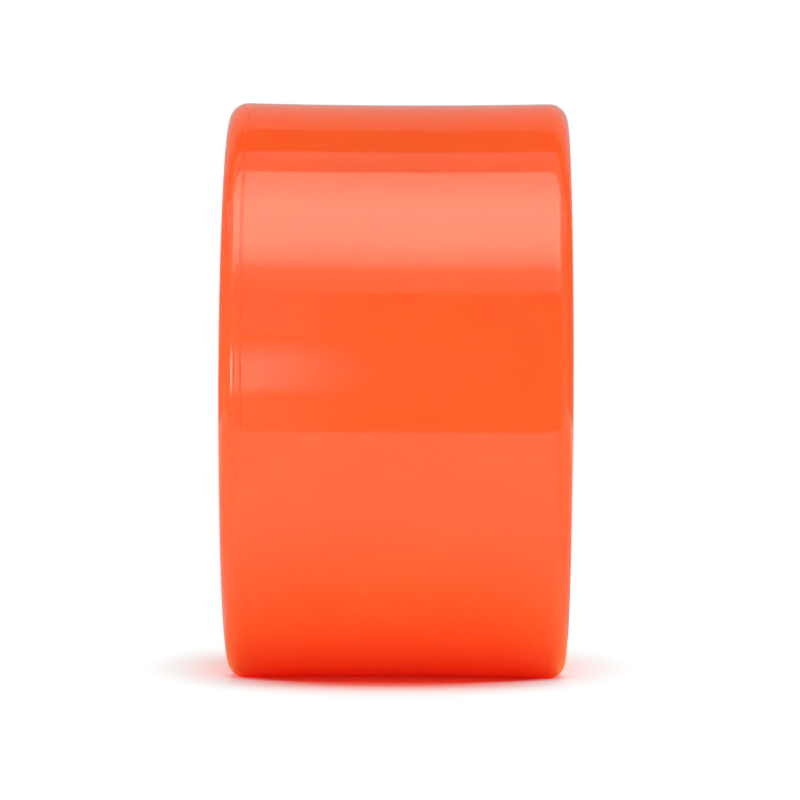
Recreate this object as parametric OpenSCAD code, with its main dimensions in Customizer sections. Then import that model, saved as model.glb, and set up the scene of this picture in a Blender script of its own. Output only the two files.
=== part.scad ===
// Longboard wheel: a urethane tyre cast on a ribbed nylon core, which carries two sealed ball bearings.
// Sizes are in millimetres. The origin is the wheel's centre, the axle lies along Y and Z is up.

/* [Tyre] */
// Diameter over the edges of the tread
wheel_d = 70; // [66:0.5:80]
// Width across the corners between sidewalls and dishes, before they are rounded
wheel_w = 41.3; // [38:0.1:46]
// Radius of the lip between tread and sidewall
lip_r = 2.2; // [1:0.1:4]
// Slope of the sidewall, in degrees from square to the axle
sidewall_slope = 2.3; // [0.5:0.1:5]
// Height of the sidewall, from the tread to the edge of the dish
sidewall_h = 8; // [6:0.25:9]
// Radius of the edge between sidewall and dish
dish_edge_r = 1.8; // [0.5:0.1:2.5]
// Width of the dish's flat floor, around the core
dish_floor = 1.4; // [1:0.1:2]
// Radius in the root of the dish
dish_root_r = 1.2; // [0.4:0.1:1.6]
// How far the middle of the tread lies below its edges
tread_dip = 0.2; // [0.05:0.05:0.5]

/* [Core] */
// Diameter of the core's rim
core_d = 41; // [39:0.5:43]
// Width of the core's rim
core_w = 22.4; // [20:0.2:24]
// Wall of the rim
rim_wall = 2.3; // [1.6:0.1:2.6]
// Wall of the sleeve around the bearings
sleeve_wall = 2.6; // [1.8:0.1:3]
// How deep each bearing lies below the end of the sleeve
bearing_depth = 0.4; // [0.1:0.1:1]
// Thickness of the web between sleeve and rim
web_t = 8; // [5:0.5:12]
// Number of ribs across the web
rib_count = 12; // [6:1:14]
// Thickness of a rib
rib_t = 1.6; // [1:0.1:2.2]
// How far the ribs stay below the edge of the rim
rib_depth = 1; // [0.4:0.1:3]
// Height of the keying flange above the rim
key_h = 3; // [2:0.1:3.5]
// Thickness of the keying flange
key_t = 5; // [3:0.5:8]
// Number of keying holes
key_count = 16; // [8:1:20]
// Diameter of a keying hole
key_hole_d = 2; // [1:0.1:2.4]

/* [Bearings] */
// Diameter of the axle
axle_d = 8; // [7:0.5:8.5]
// Outside diameter of a bearing
bearing_od = 22; // [21:0.5:24]
// Width of a bearing
bearing_w = 7; // [6.5:0.1:8]
// Distance between the two bearings
spacer_l = 10; // [8:0.1:12]
// Diameter of a ball
ball_d = 3.969; // [3.5:0.001:4.2]
// Number of balls in a bearing
ball_count = 7; // [6:1:7]
// Height of a ring's land above the bottom of its race
land_h = 0.55; // [0.4:0.05:0.7]
// Radial thickness of the cage
cage_t = 1.7; // [1:0.1:1.8]
// Thickness of the rubber seal
seal_t = 0.75; // [0.6:0.05:0.85]
// Thickness of the steel shield, and of the insert in the seal
sheet_t = 0.25; // [0.15:0.05:0.3]
// Wire diameter of the snap ring
wire_d = 0.4; // [0.3:0.05:0.45]
// Wall of the spacer
spacer_wall = 1.2; // [0.8:0.1:1.4]

/* [Clearances] */
// Between a ball and the bottom of a race
race_gap = 0.03; // [0.02:0.01:0.05]
// Between a ball and its pocket in the cage
pocket_gap = 0.1; // [0.05:0.05:0.15]
// Between the cage and the shield
cage_gap = 0.15; // [0.1:0.05:0.2]
// Between the inner ring and the seal or shield
lip_gap = 0.15; // [0.1:0.05:0.25]
// Between a seal, shield or snap ring and the wall that it snaps into
snap_gap = 0.02; // [0.01:0.01:0.05]

/* [Hidden] */
$fn = 96;

// Segments of the shallow arc across the tread, whose radius is many times its width
tread_arc_fn = 2400;

// Edge radii of moulded and of ground pieces
mould_edge_r = 0.5;
mould_root_r = 0.8;
ground_edge_r = 0.3;
spacer_edge_r = 0.2;

// Tyre, as radius from the axle and distance from the wheel's middle.
// A narrow flat land lies between the tread's dip and each lip.
tread_r = wheel_d / 2;
core_r = core_d / 2;
rim_end = core_w / 2;
dish_edge = tread_r - sidewall_h;
lip_end = wheel_w / 2 - sidewall_h * tan(sidewall_slope);
tread_land = 0.4;
tread_half_w = lip_end - lip_r - tread_land;
tread_arc_r = (tread_half_w ^ 2 + tread_dip ^ 2) / (2 * tread_dip);

// Race, land and recess radii of the bearing
axle_r = axle_d / 2;
pitch_r = (axle_d + bearing_od) / 4;
ball_r = ball_d / 2;
race_conformity = 1.04;
race_r = ball_r * race_conformity;
inner_race_r = pitch_r - ball_r - race_gap;
outer_race_r = pitch_r + ball_r + race_gap;
inner_land_r = inner_race_r + land_h;
outer_land_r = outer_race_r - land_h;
recess_step = 0.75;
recess_r = outer_land_r + recess_step;

// Places along the bearing's axis, from its middle, with the outward side positive
bearing_end = bearing_w / 2;
seal_depth = 0.15;
seal_seat = bearing_end - seal_depth - seal_t;
seal_bead_r = 0.25;
wire_r = wire_d / 2;
wire_depth = 0.1;
wire_end = bearing_end - wire_depth - snap_gap - wire_r;
shield_seat = wire_end - wire_r - snap_gap - sheet_t;
horn_share = 0.55;
horn_end = ball_r * horn_share;

// Places of the bearings, the sleeve and the ribs along the axle
shoulder_end = spacer_l / 2;
bearing_mid = shoulder_end + bearing_end;
sleeve_end = shoulder_end + bearing_w + bearing_depth;
seat_r = bearing_od / 2;
sleeve_r = seat_r + sleeve_wall;
shoulder_step = 0.05;
shoulder_r = recess_r + shoulder_step;
rim_inside_r = core_r - rim_wall;
rib_end = rim_end - rib_depth;

SIDES = [["left", -1], ["right", 1]];
BEARING_PIECES = ["outer_ring", "inner_ring", "cage", "seal", "seal_insert", "shield", "snap_ring"];

// Rounded outlines. A corner is [radius from the axle, place along it, rounding radius].

function spot(corner) = [corner[0], corner[1]];

function heading(from, to) = (to - from) / norm(to - from);

// Half the angle between the two edges that meet at b
function half_angle(a, b, c) = acos(heading(b, a) * heading(b, c)) / 2;

function turns_left(a, b, c) = (b.x - a.x) * (c.y - b.y) > (b.y - a.y) * (c.x - b.x);

// The two points where the rounding of corner b leaves its edges
function round_ends(a, b, c, r) =
    let (reach = r / tan(half_angle(a, b, c)))
    [b + reach * heading(b, a), b + reach * heading(b, c)];

function round_centre(a, b, c, r) =
    b + r / sin(half_angle(a, b, c)) * heading([0, 0], heading(b, a) + heading(b, c));

// The sliver of a disc between the rounding's arc and its chord
module round_sliver(a, b, c, r) {
    ends = round_ends(a, b, c, r);
    intersection() {
        translate(round_centre(a, b, c, r)) circle(r);
        polygon([b, ends[0], ends[1]]);
    }
}

// A polygon, given anticlockwise, with true arcs at the corners that have a rounding radius
module rounded_outline(corners) {
    n = len(corners);
    at = [for (corner = corners) spot(corner)];
    before = [for (i = [0 : n - 1]) at[(i + n - 1) % n]];
    after = [for (i = [0 : n - 1]) at[(i + 1) % n]];
    rounded = [for (i = [0 : n - 1]) if (corners[i][2] > 0) i];
    chorded = [for (i = [0 : n - 1])
        each corners[i][2] > 0 ? round_ends(before[i], at[i], after[i], corners[i][2]) : [at[i]]];
    difference() {
        union() {
            polygon(chorded);
            for (i = rounded)
                if (turns_left(before[i], at[i], after[i]))
                    round_sliver(before[i], at[i], after[i], corners[i][2]);
        }
        for (i = rounded)
            if (!turns_left(before[i], at[i], after[i]))
                round_sliver(before[i], at[i], after[i], corners[i][2]);
    }
}

// The corners of one half of an outline, followed by their mirror image
function mirrored(half) =
    concat(half, [for (i = [len(half) - 1 : -1 : 0]) [half[i][0], -half[i][1], half[i][2]]]);

function band(r_in, r_out, low, high) = [
    [r_in, low, 0],
    [r_out, low, 0],
    [r_out, high, 0],
    [r_in, high, 0]
];

// Placing

// Turns what was drawn about Z onto the axle, along Y
module on_axle() {
    rotate([-90, 0, 0]) children();
}

// Puts a piece of the outward-facing bearing on one side of the wheel, 1 for right and -1 for left
module in_bearing(side) {
    on_axle()
        mirror([0, 0, side < 0 ? 1 : 0])
            translate([0, 0, bearing_mid])
                children();
}

// Copies its children around the axle
module around(count) {
    for (i = [0 : count - 1])
        rotate([0, 0, 360 * i / count]) children();
}

// Tyre and core

// The pierced flange that locks the core into the urethane, which fills its holes
module key_flange() {
    root = rim_wall / 2;
    difference() {
        rotate_extrude() rounded_outline(band(core_r - root, core_r + key_h, -key_t / 2, key_t / 2));
        around(key_count)
            translate([core_r + key_h / 2, 0, 0])
                cylinder(h = 2 * key_t, d = key_hole_d, center = true);
    }
}

module tyre_outline() {
    half = [
        [tread_r, lip_end, lip_r],
        [dish_edge, wheel_w / 2, dish_edge_r],
        [core_r + dish_floor, rim_end, dish_root_r],
        [core_r, rim_end, 0]
    ];
    difference() {
        rounded_outline(mirrored(half));
        translate([tread_r - tread_dip + tread_arc_r, 0]) circle(tread_arc_r, $fn = tread_arc_fn);
    }
}

module tyre() {
    color([1, 0.36, 0.14])
        on_axle()
            difference() {
                rotate_extrude() tyre_outline();
                key_flange();
            }
}

// Sleeve with its two bearing seats and the shoulder between them, web and rim, in one outline
module core_outline() {
    half = [
        [core_r, rim_end, 0],
        [rim_inside_r, rim_end, mould_edge_r],
        [rim_inside_r, web_t / 2, mould_root_r],
        [sleeve_r, web_t / 2, mould_root_r],
        [sleeve_r, sleeve_end, mould_edge_r],
        [seat_r, sleeve_end, mould_edge_r / 2],
        [seat_r, shoulder_end, 0],
        [shoulder_r, shoulder_end, 0]
    ];
    rounded_outline(mirrored(half));
}

// One rib, drawn along X from the middle of the sleeve's wall to the middle of the rim's
module rib() {
    start = sleeve_r - sleeve_wall / 2;
    end = rim_inside_r + rim_wall / 2;
    half = [
        [rib_t / 2, rib_end, mould_edge_r],
        [-rib_t / 2, rib_end, mould_edge_r]
    ];
    translate([start, 0, 0])
        rotate([90, 0, 90])
            linear_extrude(end - start) rounded_outline(mirrored(half));
}

module core() {
    color([0.93, 0.91, 0.85])
        on_axle() {
            rotate_extrude() core_outline();
            around(rib_count) rib();
            key_flange();
        }
}

// A sleeve with the same bore as the inner rings that it keeps apart
module bearing_spacer() {
    half = [
        [axle_r + spacer_wall, shoulder_end, spacer_edge_r],
        [axle_r, shoulder_end, spacer_edge_r]
    ];
    color([0.75, 0.76, 0.78])
        on_axle()
            rotate_extrude() rounded_outline(mirrored(half));
}

// Bearing pieces, each drawn about Z in the bearing's own middle with the outward side up

module outer_ring() {
    half = [
        [seat_r, bearing_end, ground_edge_r],
        [outer_land_r, bearing_end, 0]
    ];
    recess_w = recess_r - outer_land_r;
    color([0.8, 0.81, 0.83])
        rotate_extrude()
            difference() {
                rounded_outline(mirrored(half));
                translate([outer_race_r - race_r, 0]) circle(race_r);
                translate([outer_land_r, seal_seat]) square([recess_w, bearing_w]);
                translate([recess_r, seal_seat + seal_t / 2]) circle(seal_bead_r);
                translate([outer_land_r, -shield_seat - bearing_w]) square([recess_w, bearing_w]);
                translate([recess_r, -wire_end]) circle(wire_r + snap_gap);
            }
}

module inner_ring() {
    half = [
        [inner_land_r, bearing_end, ground_edge_r / 2],
        [axle_r, bearing_end, ground_edge_r]
    ];
    color([0.8, 0.81, 0.83])
        rotate_extrude()
            difference() {
                rounded_outline(mirrored(half));
                translate([inner_race_r + race_r, 0]) circle(race_r);
            }
}

module ball(number) {
    color([0.85, 0.86, 0.88])
        rotate([0, 0, 360 * (number - 1) / ball_count])
            translate([pitch_r, 0, 0])
                sphere(ball_r);
}

// A crown: a ring on the inward side with a pocket for each ball, open between springy horns
module cage() {
    back = shield_seat - cage_gap;
    notch_w = 1.2;
    notch_root = -ball_r / 4;
    color([0.9, 0.88, 0.8])
        difference() {
            rotate_extrude()
                rounded_outline(band(pitch_r - cage_t / 2, pitch_r + cage_t / 2, -back, horn_end));
            around(ball_count) {
                translate([pitch_r, 0, 0]) sphere(ball_r + pocket_gap);
                rotate([0, 0, 180 / ball_count])
                    translate([pitch_r - cage_t, -notch_w / 2, notch_root])
                        cube([2 * cage_t, notch_w, bearing_w]);
            }
        }
}

module insert_outline() {
    inset = 0.7;
    rim_inset = 0.2;
    rounded_outline(
        band(inner_land_r + lip_gap + inset, outer_land_r - rim_inset, seal_seat, seal_seat + sheet_t)
    );
}

// Rubber with a bead in the ring's groove, a thin lip at the inner ring and a shallow ring in its face
module seal() {
    lip = inner_land_r + lip_gap;
    rim = recess_r - snap_gap;
    face = seal_seat + seal_t;
    lip_taper = seal_t / 3;
    face_groove_depth = 0.12;
    face_margin = 0.7;
    corners = [
        [lip, seal_seat + lip_taper, 0],
        [lip + lip_taper, seal_seat, 0],
        [rim, seal_seat, 0],
        [rim, face, ground_edge_r / 2],
        [lip + lip_taper, face, 0],
        [lip, face - lip_taper, 0]
    ];
    color([0.12, 0.12, 0.13])
        rotate_extrude()
            difference() {
                union() {
                    rounded_outline(corners);
                    translate([recess_r, seal_seat + seal_t / 2]) circle(seal_bead_r - snap_gap);
                }
                insert_outline();
                rounded_outline(band(lip + face_margin, rim - face_margin, face - face_groove_depth, bearing_w));
            }
}

module seal_insert() {
    color([0.7, 0.71, 0.73]) rotate_extrude() insert_outline();
}

module shield() {
    color([0.78, 0.79, 0.81])
        rotate_extrude()
            rounded_outline(
                band(inner_land_r + lip_gap, recess_r - snap_gap, -shield_seat - sheet_t, -shield_seat)
            );
}

// A split ring of round wire, half of it in the outer ring's groove
module snap_ring() {
    split = 24;
    color([0.6, 0.61, 0.63])
        rotate([0, 0, split / 2])
            rotate_extrude(angle = 360 - split)
                translate([recess_r, -wire_end]) circle(wire_r);
}

tyre();
core();
bearing_spacer();
for (side = SIDES) {
    in_bearing(side[1]) outer_ring();
    in_bearing(side[1]) inner_ring();
    in_bearing(side[1]) cage();
    in_bearing(side[1]) seal();
    in_bearing(side[1]) seal_insert();
    in_bearing(side[1]) shield();
    in_bearing(side[1]) snap_ring();
    for (i = [1 : ball_count])
        in_bearing(side[1]) ball(i);
}
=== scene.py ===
"""A longboard wheel on a white table: a cast urethane tyre on a moulded core with two sealed bearings.

The scene is in metres, in the frame of the solids: the origin is the wheel's centre, the axle lies along
Y, Z is up and the camera looks from +X.
"""
import math

import bmesh
import bpy
from mathutils import Matrix, Vector, noise


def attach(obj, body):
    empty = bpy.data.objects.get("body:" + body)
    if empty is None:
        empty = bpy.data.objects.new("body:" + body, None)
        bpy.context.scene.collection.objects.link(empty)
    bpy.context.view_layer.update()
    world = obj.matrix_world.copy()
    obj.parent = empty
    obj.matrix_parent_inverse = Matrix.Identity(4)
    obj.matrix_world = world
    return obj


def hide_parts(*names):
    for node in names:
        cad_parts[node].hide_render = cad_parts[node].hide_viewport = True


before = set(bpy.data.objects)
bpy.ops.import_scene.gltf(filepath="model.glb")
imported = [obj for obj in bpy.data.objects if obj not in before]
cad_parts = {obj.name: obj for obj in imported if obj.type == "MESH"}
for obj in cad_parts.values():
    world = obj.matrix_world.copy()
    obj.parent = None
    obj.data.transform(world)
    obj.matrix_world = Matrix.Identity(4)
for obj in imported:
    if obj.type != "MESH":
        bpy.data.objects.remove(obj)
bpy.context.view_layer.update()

MM = 0.001
SIDES = {"left": -1, "right": 1}
SCENE = bpy.context.scene

# Sizes of the tyre, in millimetres, as in the solids
TREAD_R = 35.0
WHEEL_W = 41.3
LIP_R = 2.2
SIDEWALL_SLOPE = math.radians(2.3)
SIDEWALL_H = 8.0
DISH_EDGE_R = 1.8
DISH_FLOOR = 1.4
DISH_ROOT_R = 1.2
TREAD_DIP = 0.2
TREAD_LAND = 0.4
CORE_R = 20.5
RIM_END = 11.2
KEY_R = 23.5
KEY_HALF_T = 2.5

# Finer forms of the casting, in millimetres: the line where the mould parts, and the skin's faint waves
PARTING_AT = -17.95
PARTING_HALF_W = 0.2
PARTING_H = 0.08
PARTING_PEAK = math.radians(15)
WAVE_H = 0.004
WAVE_L = 13.0
SKIN_R = TREAD_R - PARTING_H - WAVE_H

# Fineness of the tyre's mesh, and the angle from which an edge is sharp
TYRE_SEGMENTS = 256
TREAD_STEPS = 40
ARC_STEPS = 20
RUN_STEPS = 16
SHARP_FROM = math.radians(40)


class Graph:
    """Adds nodes to an emptied node tree, with their settings, and sets or links their inputs."""

    def __init__(self, tree):
        self.tree = tree
        tree.nodes.clear()

    def add(self, kind, inputs=None, **settings):
        node = self.tree.nodes.new("ShaderNode" + kind)
        for name, value in settings.items():
            setattr(node, name, value)
        for name, value in (inputs or {}).items():
            if isinstance(value, bpy.types.NodeSocket):
                self.tree.links.new(value, node.inputs[name])
            else:
                node.inputs[name].default_value = value
        return node

    def place(self):
        """Where a point lies in its object, in metres."""
        return self.add("TexCoord").outputs["Object"]

    def noise(self, size, detail, place=None):
        """A cloudy value from 0 to 1, whose features have about that size in metres."""
        inputs = {"Vector": place or self.place(), "Scale": 1 / size, "Detail": detail}
        return self.add("TexNoise", inputs).outputs["Fac"]

    def math(self, operation, a, b=0.0):
        return self.add("Math", {0: a, 1: b}, operation=operation).outputs[0]

    def spread(self, value, low, high, start=0.3, end=0.7):
        """Maps a value from start..end to low..high."""
        inputs = {"Value": value, "From Min": start, "From Max": end, "To Min": low, "To Max": high}
        return self.add("MapRange", inputs).outputs["Result"]

    def blend(self, share, first, second):
        """A colour between two, by a share that varies over the surface."""
        node = self.add("Mix", {"Factor": share}, data_type="RGBA")
        node.inputs["A"].default_value = (*first, 1)
        node.inputs["B"].default_value = (*second, 1)
        return node.outputs["Result"]

    def bump(self, height, depth):
        """A normal from a height of 0 to 1 that stands for that depth in metres."""
        inputs = {"Height": height, "Distance": depth, "Strength": 1.0}
        return self.add("Bump", inputs).outputs["Normal"]

    def from_axle(self):
        """Distance of a point from the axle, in metres."""
        x, _, z = self.add("SeparateXYZ", {0: self.place()}).outputs
        squares = self.math("ADD", self.math("MULTIPLY", x, x), self.math("MULTIPLY", z, z))
        return self.math("SQRT", squares)

    def finish(self, shader):
        self.add("OutputMaterial", {"Surface": shader})


def new_material(name):
    material = bpy.data.materials.new(name)
    material.use_nodes = True
    return material, Graph(material.node_tree)


# Materials

SMEAR_SHADE = 0.9


def urethane():
    """Glossy cast urethane, translucent orange, with faint streaks in its colour and in its shine."""
    material, graph = new_material("urethane")
    streaks = graph.noise(14 * MM, 4)
    colour = graph.blend(graph.spread(streaks, 0, 1), (0.998, 0.12, 0.0255), (0.998, 0.131, 0.029))
    shine = graph.spread(graph.noise(3 * MM, 5), 0.04, 0.07)
    skin = graph.bump(graph.noise(0.9 * MM, 2), 0.0004 * MM)
    inputs = {
        "Base Color": colour,
        "Roughness": shine,
        "IOR": 1.5,
        "Subsurface Weight": 1.0,
        "Subsurface Radius": (1.0, 0.2, 0.1),
        "Subsurface Scale": 10 * MM,
        "Normal": skin,
    }
    shader = graph.add("BsdfPrincipled", inputs, subsurface_method="RANDOM_WALK")
    graph.finish(shader.outputs[0])
    return material


def moulded_nylon(name, light, dark):
    """Satin moulded plastic with a fine grain and slight clouding."""
    material, graph = new_material(name)
    clouds = graph.noise(6 * MM, 4)
    grain = graph.noise(0.18 * MM, 3)
    inputs = {
        "Base Color": graph.blend(graph.spread(clouds, 0, 1), dark, light),
        "Roughness": graph.spread(grain, 0.36, 0.5),
        "IOR": 1.53,
        "Subsurface Weight": 0.35,
        "Subsurface Radius": (1.0, 0.85, 0.6),
        "Subsurface Scale": 1.2 * MM,
        "Normal": graph.bump(grain, 0.012 * MM),
    }
    shader = graph.add("BsdfPrincipled", inputs, subsurface_method="RANDOM_WALK")
    graph.finish(shader.outputs[0])
    return material


def turned_metal(name, colour, shine, pitch, depth):
    """Metal with fine rings left by turning or grinding about the axle, and slightly darker smears."""
    material, graph = new_material(name)
    radius = graph.from_axle()
    y = graph.add("SeparateXYZ", {0: graph.place()}).outputs["Y"]
    across = graph.add("CombineXYZ", {"X": radius, "Y": y}).outputs[0]
    rings = graph.noise(pitch, 2, across)
    smears = graph.noise(2.5 * MM, 4)
    smeared = [SMEAR_SHADE * channel for channel in colour]
    inputs = {
        "Base Color": graph.blend(graph.spread(smears, 0, 1), colour, smeared),
        "Metallic": 1.0,
        "Roughness": graph.spread(rings, *shine),
        "Normal": graph.bump(rings, depth),
    }
    shader = graph.add("BsdfPrincipled", inputs)
    graph.finish(shader.outputs[0])
    return material


def seal_rubber():
    """Satin black nitrile with a fine moulded grain and a little dust."""
    material, graph = new_material("seal_rubber")
    grain = graph.noise(0.12 * MM, 3)
    dust = graph.spread(graph.noise(1.6 * MM, 5), 0, 1, 0.5, 0.8)
    inputs = {
        "Base Color": graph.blend(dust, (0.012, 0.012, 0.013), (0.04, 0.038, 0.036)),
        "Roughness": graph.spread(grain, 0.42, 0.6),
        "Normal": graph.bump(grain, 0.008 * MM),
    }
    shader = graph.add("BsdfPrincipled", inputs)
    graph.finish(shader.outputs[0])
    return material


# Shapes


def round_corner(before, corner, after, radius, steps):
    """Points on the arc of that radius that rounds a corner."""
    into = (before - corner).normalized()
    out = (after - corner).normalized()
    half = into.angle(out) / 2
    centre = corner + (into + out).normalized() * (radius / math.sin(half))
    start = corner + into * (radius / math.tan(half)) - centre
    end = corner + out * (radius / math.tan(half)) - centre
    turn = start.angle_signed(end)
    return [centre + Matrix.Rotation(-turn * i / steps, 2) @ start for i in range(steps + 1)]


def subdivide(start, end, steps):
    """Points from start towards end, without end."""
    return [start.lerp(end, i / steps) for i in range(steps)]


def rounded_path(corners, radii):
    """Points along straight runs between corners that are rounded, from the first corner to the last."""
    points = []
    start = corners[0]
    for i, radius in enumerate(radii, 1):
        arc = round_corner(corners[i - 1], corners[i], corners[i + 1], radius, ARC_STEPS)
        points += subdivide(start, arc[0], RUN_STEPS) + arc[:-1]
        start = arc[-1]
    return points + subdivide(start, corners[-1], RUN_STEPS) + [corners[-1]]


def tread_half(half_w):
    """Half of the tread's shallow arc, from its middle out, as radius and place on the axle."""
    arc_r = (half_w**2 + TREAD_DIP**2) / (2 * TREAD_DIP)
    middle = SKIN_R - TREAD_DIP + arc_r
    places = [half_w * i / TREAD_STEPS for i in range(TREAD_STEPS)]
    return [Vector((middle - math.sqrt(arc_r**2 - place**2), place)) for place in places]


def tyre_half():
    """Outline of the tyre's right side, from the tread's middle to the slot for the core's flange."""
    lip_at = WHEEL_W / 2 - SIDEWALL_H * math.tan(SIDEWALL_SLOPE)
    half_w = lip_at - LIP_R - TREAD_LAND
    corners = [
        Vector((SKIN_R, half_w)),
        Vector((SKIN_R, lip_at)),
        Vector((TREAD_R - SIDEWALL_H, WHEEL_W / 2)),
        Vector((CORE_R + DISH_FLOOR, RIM_END)),
        Vector((CORE_R, RIM_END)),
    ]
    slot = [Vector((CORE_R, KEY_HALF_T)), Vector((KEY_R, KEY_HALF_T))]
    return tread_half(half_w) + rounded_path(corners, (LIP_R, DISH_EDGE_R, DISH_ROOT_R)) + slot


def tyre_outline():
    """The closed outline, both sides, as points of radius and place on the axle."""
    right = tyre_half()
    return right + [Vector((radius, -place)) for radius, place in right[:0:-1]]


def half_wave(turn):
    """A smooth swell from 0 at half a turn to 1 at none."""
    return (1 + math.cos(turn)) / 2


def parting_line(radius, place, turn):
    """Height of the line where the mould parts, of which trimming left most at one place."""
    reach = abs(place - PARTING_AT) / PARTING_HALF_W
    if reach >= 1 or radius < SKIN_R - LIP_R:
        return 0.0
    return PARTING_H * half_wave(turn - PARTING_PEAK) ** 2 * half_wave(math.pi * reach)


def skin(radius, place, turn):
    """How far the cast skin stands off its true outline, in millimetres."""
    at = Vector((radius * math.cos(turn), place, radius * math.sin(turn))) / WAVE_L
    return WAVE_H * noise.noise(at) + parting_line(radius, place, turn)


def lathe(name, outline, segments, offset):
    """A mesh turned about the axle from a closed outline in millimetres, with an offset in radius."""
    work = bmesh.new()
    rings = []
    for i in range(segments):
        turn = 2 * math.pi * i / segments
        ring = []
        for radius, place in outline:
            reach = radius + offset(radius, place, turn)
            point = Vector((reach * math.cos(turn), place, reach * math.sin(turn)))
            ring.append(work.verts.new(point * MM))
        rings.append(ring)
    count = len(outline)
    for i, ring in enumerate(rings):
        after = rings[(i + 1) % segments]
        for j in range(count):
            k = (j + 1) % count
            work.faces.new((ring[j], ring[k], after[k], after[j]))
    bmesh.ops.recalc_face_normals(work, faces=work.faces)
    mesh = bpy.data.meshes.new(name)
    work.to_mesh(mesh)
    work.free()
    mesh.shade_smooth()
    mesh.set_sharp_from_angle(angle=SHARP_FROM)
    piece = bpy.data.objects.new(name, mesh)
    SCENE.collection.objects.link(piece)
    return piece


def make_tyre():
    tyre = lathe("cast_tyre", tyre_outline(), TYRE_SEGMENTS, skin)
    tyre.data.materials.append(urethane())
    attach(tyre, "wheel")
    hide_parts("tyre")


def dress(node, material):
    """Gives a solid its material."""
    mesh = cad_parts[node].data
    mesh.materials.clear()
    mesh.materials.append(material)


def dress_solids():
    nylon = moulded_nylon("core_nylon", (0.84, 0.81, 0.73), (0.78, 0.75, 0.66))
    cage_nylon = moulded_nylon("cage_nylon", (0.8, 0.75, 0.62), (0.74, 0.69, 0.56))
    rubber = seal_rubber()
    ground = turned_metal("bearing_steel", (0.66, 0.66, 0.67), (0.16, 0.28), 0.05 * MM, 0.002 * MM)
    lapped = turned_metal("ball_steel", (0.72, 0.72, 0.73), (0.05, 0.1), 0.3 * MM, 0.0003 * MM)
    rolled = turned_metal("sheet_steel", (0.58, 0.58, 0.59), (0.25, 0.4), 0.08 * MM, 0.003 * MM)
    drawn = turned_metal("spring_steel", (0.42, 0.42, 0.43), (0.25, 0.4), 0.06 * MM, 0.003 * MM)
    turned = turned_metal("spacer_aluminium", (0.78, 0.79, 0.8), (0.2, 0.38), 0.09 * MM, 0.006 * MM)
    dress("core", nylon)
    dress("bearing_spacer", turned)
    looks = {
        "outer_ring": ground,
        "inner_ring": ground,
        "cage": cage_nylon,
        "seal": rubber,
        "seal_insert": rolled,
        "shield": rolled,
        "snap_ring": drawn,
    }
    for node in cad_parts:
        side, _, piece = node.partition("_")
        if side in SIDES:
            dress(node, looks.get(piece, lapped))


# Stage, in metres and shares of white

WHITE = (1.0, 1.0, 1.0)

# Table: its colours, with a painted red shade near the wheel that only reflections see, the ovals that
# bound them, and where each fades, as shares of the way to an edge
FLOOR_Z = -(SKIN_R - TREAD_DIP) * MM
FLOOR_FRONT = 0.138
FLOOR_REACH = 4.0
FLOOR_COLOUR = (0.97, 0.97, 0.97)
FOOT_AT = (0.0, 0.0)
REFLECTED_SHADE_COLOUR = (0.97, 0.54, 0.22)
REFLECTED_SHADE_REACH = (0.047, 0.047)
REFLECTED_SHADE_EDGE = (0.49, 1.0)
SHADOW_AT = (-0.025, -0.001)
SHADOW_REACH = (0.062, 0.0274)
WHITE_IN_VIEW = (0.69, 1.12)
WHITE_IN_GLOSS = (1.5, 3.0)

# Painted red glow on the table, standing in for light that the urethane lets through, and the painted
# dark contact shadow close under the tread
GLOW_COLOUR = (1.0, 0.06, 0.03)
GLOW_UNDER = 0.064
GLOW_UNDER_REACH = (0.002, 0.028)
GLOW_BESIDE = 0.34
GLOW_BESIDE_REACH = (0.6, 1.0)
GLOW_TREAD_ENDS = (0.016, 0.022)
CONTACT_SHADOW_COLOUR = (0.68, 0.25, 0.15)
CONTACT_SHADOW_GLOW = 0.2
CONTACT_SHADOW_REACH = (0.0152, 0.0217)
CONTACT_SHADOW_EDGE = (0.8, 1.0)

# Levels and places of the lamps
WORLD_LEVEL = 0.45
FRONT_LIGHT = 0.75
SIDE_LIGHT = 0.6
TOP_LIGHT = 1.0
TABLE_LIGHT = 0.55
LAMP_R = 1.6
LAMP_SIZE = 1.2
LAMP_COLOUR = (1.0, 0.95, 0.9)
LAMP_Z = 0.15
SIDE_LAMP_TURN = math.radians(112)
TOP_LAMP_PLACE = (-1.1, 0.0, 1.16)
TABLE_LAMP_PLACE = (0.45, 0.15, 1.55)

# Cards that only reflections see, as painted reflections of a studio: those round the axle, a little
# apart, and those beside the wheel
CARD_R = 1.3
CARD_GAP = 0.02
CARD_HALF_W = 1.5
CARD_STEPS = 48
SOFTBOX_HALF_W = 0.8
SOFTBOX_COLOUR = (1.0, 0.98, 0.85)
WALL_X = (-0.1, 1.3)
WALL_Y = (1.4, 1.4)
WALL_Z = (-0.4, 1.3)
WALL_LEVELS = {"left": (0.3, 0.3), "right": (0.2, 0.2)}
FLAG_X = (-0.6, 0.0)
FLAG_Y = (0.5, 0.5)
FLAG_Z = (-0.03, 0.35)
FLAG_LEVELS = {"left": (0.25, 0.25), "right": (0.05, 0.05)}
TABLE_SHADE_CARD_X = (-0.2, 0.13)
TABLE_SHADE_CARD_Y = (0.03, 0.25)
TABLE_SHADE_CARD_Z = (-0.034, -0.034)
TABLE_SHADE_CARD_LEVELS = {"left": (0.6, 0.85), "right": (0.45, 0.65)}
NEAR_LAMP_REFLECTION_R = 0.48
FAR_LAMP_REFLECTION_R = 0.49
PANEL_R = 0.5

# Camera, and how often light bounces
CAMERA_AT = (0.5803, 0.0044, 0.0)
CAMERA_AIM = (0.0, 0.00026, -0.00108)
CAMERA_ROLL = 0.004
SENSOR_MM = 36.0
LENS_MM = 214.5
BOUNCES = 32
DIFFUSE_BOUNCES = 24


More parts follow.
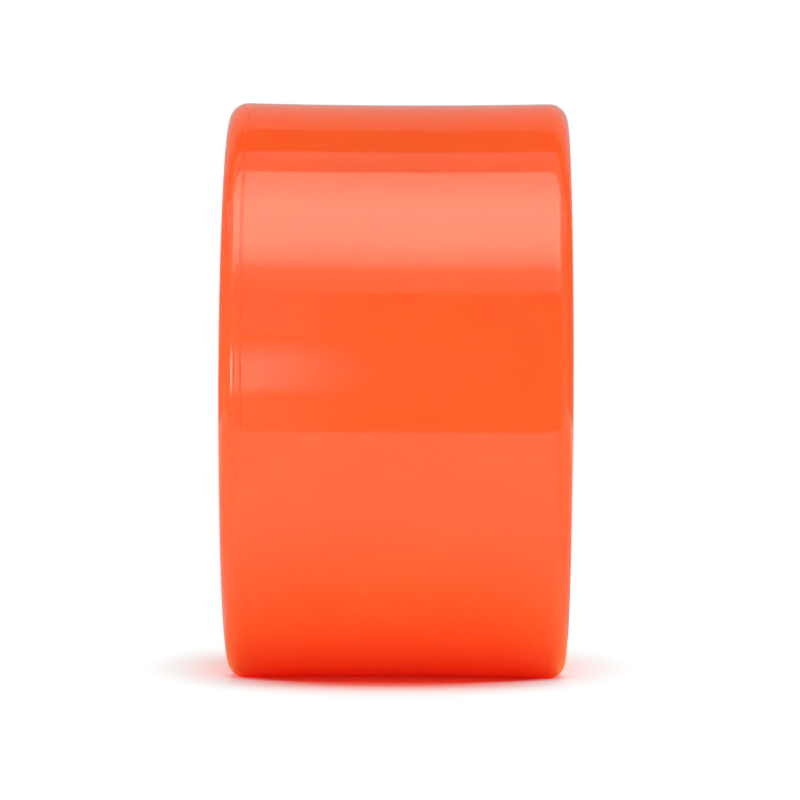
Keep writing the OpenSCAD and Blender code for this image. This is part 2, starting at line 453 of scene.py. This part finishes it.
def ray_kinds(graph):
    """1 for rays from the camera, and 1 for rays off gloss or through glass."""
    path = graph.add("LightPath").outputs
    mirrored = graph.math("MAXIMUM", path["Is Glossy Ray"], path["Is Transmission Ray"])
    return path["Is Camera Ray"], mirrored


def make_world():
    """A white room that lends the wheel a low, even light, and is plain white where it is seen."""
    world = bpy.data.worlds.new("studio")
    SCENE.world = world
    world.use_nodes = True
    graph = Graph(world.node_tree)
    lit = graph.add("Background", {"Color": (*WHITE, 1), "Strength": WORLD_LEVEL})
    white = graph.add("Background", {"Color": (*WHITE, 1), "Strength": 1.0})
    shown = graph.math("MAXIMUM", *ray_kinds(graph))
    inputs = {0: shown, 1: lit.outputs[0], 2: white.outputs[0]}
    graph.add("OutputWorld", {"Surface": graph.add("MixShader", inputs).outputs[0]})


def painted_table_glow(graph, shadow):
    """Painted red glow on the table, under the tread and beside it, standing in for the light that the
    urethane lets through.
    """
    x, y, _ = graph.add("SeparateXYZ", {0: graph.place()}).outputs
    # painted glow: the table emits red light under the tread and in the shadow beside it
    under = graph.spread(graph.math("ABSOLUTE", x), GLOW_UNDER, 0, *GLOW_UNDER_REACH)
    beside = graph.spread(shadow, GLOW_BESIDE, 0, *GLOW_BESIDE_REACH)
    strength = graph.spread(graph.math("ABSOLUTE", y), under, beside, *GLOW_TREAD_ENDS)
    return graph.add("Emission", {"Color": (*GLOW_COLOUR, 1), "Strength": strength}).outputs[0]


def oval_reach(graph, middle, radii):
    """Distance of a point of the table from an oval's middle, as a share of the way to its edge."""
    oval = {"Vector": graph.place(), "Location": (*middle, FLOOR_Z), "Scale": (*radii, 1.0)}
    inside = graph.add("Mapping", oval, vector_type="TEXTURE").outputs[0]
    return graph.add("VectorMath", {0: inside}, operation="LENGTH").outputs["Value"]


def painted_contact_shadow(graph):
    """Painted contact shadow close under the tread: a dark red table colour with a painted red glow."""
    dark = graph.add("BsdfDiffuse", {"Color": (*CONTACT_SHADOW_COLOUR, 1)})
    red = graph.add("Emission", {"Color": (*GLOW_COLOUR, 1), "Strength": CONTACT_SHADOW_GLOW})
    return graph.add("AddShader", {0: dark.outputs[0], 1: red.outputs[0]}).outputs[0]


def pale_floor():
    """A pale matt table with painted red shade near the wheel in mirrored rays, a painted dark contact
    shadow and painted red glow under the tread, and plain white outside its shadow.
    """
    material, graph = new_material("pale_floor")
    seen, mirrored = ray_kinds(graph)
    shadow = oval_reach(graph, SHADOW_AT, SHADOW_REACH)
    reflected_shade = graph.spread(oval_reach(graph, FOOT_AT, REFLECTED_SHADE_REACH), 1, 0, *REFLECTED_SHADE_EDGE)
    # painted contact shadow: an oval close under the tread that the camera sees dark red
    contact_shadow = graph.spread(oval_reach(graph, FOOT_AT, CONTACT_SHADOW_REACH), 1, 0, *CONTACT_SHADOW_EDGE)
    # painted shade: mirrored rays see the table near the wheel in a red shade colour
    colour = graph.blend(graph.math("MULTIPLY", reflected_shade, mirrored), FLOOR_COLOUR, REFLECTED_SHADE_COLOUR)
    pale = graph.add("BsdfDiffuse", {"Color": colour})
    lit = graph.add("AddShader", {0: pale.outputs[0], 1: painted_table_glow(graph, shadow)})
    white = graph.add("Emission", {"Color": (*WHITE, 1), "Strength": 1.0})
    in_view = graph.math("MULTIPLY", graph.spread(shadow, 0, 1, *WHITE_IN_VIEW), seen)
    in_gloss = graph.math("MULTIPLY", graph.spread(shadow, 0, 1, *WHITE_IN_GLOSS), mirrored)
    share = graph.math("MAXIMUM", in_view, in_gloss)
    open_table = graph.add("MixShader", {0: share, 1: lit.outputs[0], 2: white.outputs[0]})
    # the camera sees the painted contact shadow inside its oval
    under = graph.math("MULTIPLY", contact_shadow, seen)
    table = graph.add("MixShader", {0: under, 1: open_table.outputs[0], 2: painted_contact_shadow(graph)})
    graph.finish(table.outputs[0])
    return material


def make_floor():
    """A table top that ends a hand's width in front of the wheel."""
    mesh = bpy.data.meshes.new("floor")
    corners = [
        (-FLOOR_REACH, -FLOOR_REACH, FLOOR_Z),
        (FLOOR_FRONT, -FLOOR_REACH, FLOOR_Z),
        (FLOOR_FRONT, FLOOR_REACH, FLOOR_Z),
        (-FLOOR_REACH, FLOOR_REACH, FLOOR_Z),
    ]
    mesh.from_pydata(corners, [], [(0, 1, 2, 3)])
    mesh.materials.append(pale_floor())
    floor = bpy.data.objects.new("floor", mesh)
    SCENE.collection.objects.link(floor)
    return floor


def level_ramp(graph, share, levels):
    """A card's level at a share of its length, as a share of the peak of its levels, and that peak."""
    places = sorted(levels)
    first, last = places[0], places[-1]
    peak = max(levels.values()) or 1.0
    ramp = graph.add("ValToRGB", {"Fac": share})
    stops = ramp.color_ramp.elements
    while len(stops) < len(places):
        stops.new(1.0)
    for stop, place in zip(stops, places):
        shade = levels[place] / peak
        stop.position = (place - first) / (last - first)
        stop.color = (shade, shade, shade, 1)
    return ramp.outputs["Color"], peak


def card_material(name, along, across, colour):
    """Emission by the place along a card and across it."""
    material, graph = new_material(name)
    u, v, _ = graph.add("SeparateXYZ", {0: graph.add("TexCoord").outputs["UV"]}).outputs
    along_shade, along_peak = level_ramp(graph, v, along)
    across_shade, across_peak = level_ramp(graph, u, across)
    strength = graph.math("MULTIPLY", along_shade, across_shade)
    strength = graph.math("MULTIPLY", strength, along_peak * across_peak)
    glow = graph.add("Emission", {"Color": (*colour, 1), "Strength": strength})
    graph.finish(glow.outputs[0])
    material.cycles.emission_sampling = "NONE"
    return material


def make_card(name, rows, along, across, colour=WHITE):
    """A card that only reflections see, between the left and right ends of its rows."""
    work = bmesh.new()
    uv = work.loops.layers.uv.new()
    ends = [[work.verts.new(end) for end in row] for row in rows]
    last = len(rows) - 1
    for i in range(last):
        left, right = ends[i]
        next_left, next_right = ends[i + 1]
        low = i / last
        high = (i + 1) / last
        places = {left: (0, low), right: (1, low), next_right: (1, high), next_left: (0, high)}
        for loop in work.faces.new(places).loops:
            loop[uv].uv = places[loop.vert]
    mesh = bpy.data.meshes.new(name)
    work.to_mesh(mesh)
    work.free()
    mesh.materials.append(card_material(name, along, across, colour))
    card = bpy.data.objects.new(name, mesh)
    SCENE.collection.objects.link(card)
    card.visible_camera = False
    card.visible_diffuse = False
    card.visible_transmission = False
    card.visible_volume_scatter = False
    card.visible_shadow = False


def arc_card(name, radius, along, across, colour=WHITE):
    """A card bent round the axle, with levels by elevation in degrees, and by place along the axle."""
    first, last = min(along), max(along)
    edges = (min(across), max(across))
    rows = []
    for i in range(CARD_STEPS + 1):
        turn = math.radians(first + (last - first) * i / CARD_STEPS)
        rows.append([(radius * math.cos(turn), y, radius * math.sin(turn)) for y in edges])
    make_card(name, rows, along, across, colour)


def side_cards(name, reach, ys, heights, levels):
    """A card on each side of the wheel, along X, with a place and a level for each of its long edges."""
    for side, sign in SIDES.items():
        rows = [[(x, sign * y, z) for x in reach] for y, z in zip(ys, heights)]
        make_card(f"{side}_{name}", rows, dict(enumerate(levels[side])), {0: 1, 1: 1})


def make_cards():
    """Painted reflections: the softbox above, with dark gaps and pale walls beyond it, and the lamps at
    the left, as cards that only gloss sees.
    """
    wide = {-CARD_HALF_W: 1, CARD_HALF_W: 1}
    softbox_w = {-SOFTBOX_HALF_W: 1, SOFTBOX_HALF_W: 1}
    softbox = {38: 0.5, 48.5: 1.2, 52: 2.8, 62: 4.3, 76: 4.3, 96: 2.0}
    arc_card("softbox", CARD_R, softbox, softbox_w, SOFTBOX_COLOUR)
    arc_card("ceiling", CARD_R + CARD_GAP, {96: 0.4, 109: 0.6}, wide)
    arc_card("rear_flag", CARD_R + 2 * CARD_GAP, {109: 0, 126.7: 0}, wide)
    arc_card("backdrop", CARD_R + 3 * CARD_GAP, {126.7: 0.2, 150: 0.35, 195: 0.6}, wide)
    arc_card("front_flag", CARD_R + 4 * CARD_GAP, {-30: 0, 40: 0}, wide)
    side_cards("wall", WALL_X, WALL_Y, WALL_Z, WALL_LEVELS)
    side_cards("flag", FLAG_X, FLAG_Y, FLAG_Z, FLAG_LEVELS)
    # painted shade in reflections: sheets on the table beside the wheel, dimmer than the table, that
    # only gloss sees
    side_cards("table_shade_card", TABLE_SHADE_CARD_X, TABLE_SHADE_CARD_Y, TABLE_SHADE_CARD_Z, TABLE_SHADE_CARD_LEVELS)
    panel_across = {-0.46: 0.8, -0.03: 1, -0.014: 1, -0.008: 0}
    arc_card("left_panel", PANEL_R, {-16: 0.4, 10: 0.55, 37: 0.55}, panel_across)
    # painted highlights on the left lip: strips standing for lamps, seen only in reflections, that light
    # nothing
    lamp_height = {-3: 0, 2: 0.9, 11: 1, 21: 0}
    near_lamp_reflection = {-0.13: 0, -0.105: 3, -0.06: 3, -0.045: 0.9, -0.014: 2.2, -0.007: 0}
    arc_card("near_lamp_reflection", NEAR_LAMP_REFLECTION_R, lamp_height, near_lamp_reflection)
    arc_card("far_lamp_reflection", FAR_LAMP_REFLECTION_R, lamp_height, {-0.457: 0, -0.376: 8, -0.311: 8, -0.244: 0})


def receivers(floor, state):
    """A collection that lets a lamp light the floor alone, or everything but the floor."""
    group = bpy.data.collections.new("floor_" + state.lower())
    group.objects.link(floor)
    group.collection_objects[0].light_linking.link_state = state
    return group


def soft_lamp(name, place, level, lit):
    """A lamp aimed at the wheel, hidden from reflections, that lights a white surface to that level."""
    light = bpy.data.lights.new(name, "AREA")
    light.shape = "DISK"
    light.size = LAMP_SIZE
    light.color = LAMP_COLOUR
    light.energy = level * (math.pi * Vector(place).length) ** 2
    lamp = bpy.data.objects.new(name, light)
    SCENE.collection.objects.link(lamp)
    lamp.location = place
    lamp.rotation_mode = "QUATERNION"
    lamp.rotation_quaternion = (-Vector(place)).to_track_quat("-Z", "Y")
    lamp.visible_camera = False
    lamp.visible_glossy = False
    lamp.light_linking.receiver_collection = lit


def make_lamps(floor):
    """Soft light on the wheel from the front, the sides and above, and on the table from above."""
    wheel_only = receivers(floor, "EXCLUDE")
    floor_only = receivers(floor, "INCLUDE")
    soft_lamp("front_lamp", (LAMP_R, 0.0, LAMP_Z), FRONT_LIGHT, wheel_only)
    for side, sign in SIDES.items():
        place = (LAMP_R * math.cos(SIDE_LAMP_TURN), sign * LAMP_R * math.sin(SIDE_LAMP_TURN), LAMP_Z)
        soft_lamp(side + "_lamp", place, SIDE_LIGHT, wheel_only)
    soft_lamp("top_lamp", TOP_LAMP_PLACE, TOP_LIGHT, wheel_only)
    soft_lamp("table_lamp", TABLE_LAMP_PLACE, TABLE_LIGHT, floor_only)


def make_camera():
    """The camera at axle height, a little to the right of the wheel's middle, with a long lens."""
    data = bpy.data.cameras.new("camera")
    data.sensor_width = SENSOR_MM
    data.lens = LENS_MM
    camera = bpy.data.objects.new("camera", data)
    SCENE.collection.objects.link(camera)
    place = Vector(CAMERA_AT)
    turn = (Vector(CAMERA_AIM) - place).to_track_quat("-Z", "Y").to_matrix().to_4x4()
    roll = Matrix.Rotation(CAMERA_ROLL, 4, "Z")
    camera.matrix_world = Matrix.Translation(place) @ turn @ roll
    SCENE.camera = camera


make_camera()
make_world()
make_lamps(make_floor())
make_cards()
make_tyre()
dress_solids()
SCENE.view_settings.view_transform = "Standard"
SCENE.cycles.max_bounces = BOUNCES
SCENE.cycles.diffuse_bounces = DIFFUSE_BOUNCES
